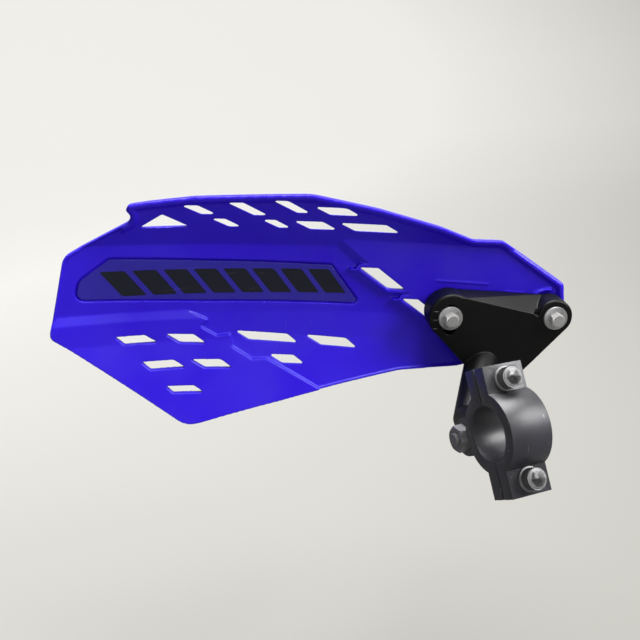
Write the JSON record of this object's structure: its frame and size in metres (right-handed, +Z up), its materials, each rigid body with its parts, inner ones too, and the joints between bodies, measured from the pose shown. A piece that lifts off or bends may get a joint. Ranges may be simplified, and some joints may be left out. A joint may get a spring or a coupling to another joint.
{
  "type": "motorcycle hand guard",
  "caption": "Open vented hand guard for the left end of a motorcycle handlebar: blue moulded shield, black bracket with two hex screws, and a split bar clamp.",
  "frame": {"origin": "centre of the bar clamp's bore", "axes": "+X along the handlebar towards the middle of the motorcycle, +Y forward, away from the rider, +Z up"},
  "size_m": [0.2434, 0.1454, 0.1085],
  "materials": {
    "shield_plastic": "semi-gloss moulded",
    "panel_plastic": "satin",
    "bracket_plastic": "satin moulded",
    "clamp_metal": "black, satin",
    "steel": "zinc plated"
  },
  "bodies": {
    "mount": {"bracket": "bracket_plastic", "pivot_bush": "steel", "clamp_body": "clamp_metal", "clamp_cap": "clamp_metal", "front_clamp_screw": "steel", "rear_clamp_screw": "steel", "front_clamp_washer": "steel", "rear_clamp_washer": "steel", "front_clamp_nut": "steel", "rear_clamp_nut": "steel", "arm_bolt": "steel", "arm_washer": "steel", "arm_nut": "steel"},
    "guard": {"shield": "shield_plastic", "graphic_panel": "panel_plastic", "outer_shield_screw": "steel", "inner_shield_screw": "steel", "outer_shield_washer": "steel", "inner_shield_washer": "steel", "outer_shield_nut": "steel", "inner_shield_nut": "steel"}
  },
  "joints": [
    {"name": "shield_tilt", "type": "hinge", "parent": "mount", "child": "guard", "pos_m": [0.07835, 0.07846, 0.01335], "axis": [0.3239, 0.9461, 0], "range_deg": [-6, 4]}
  ]
}
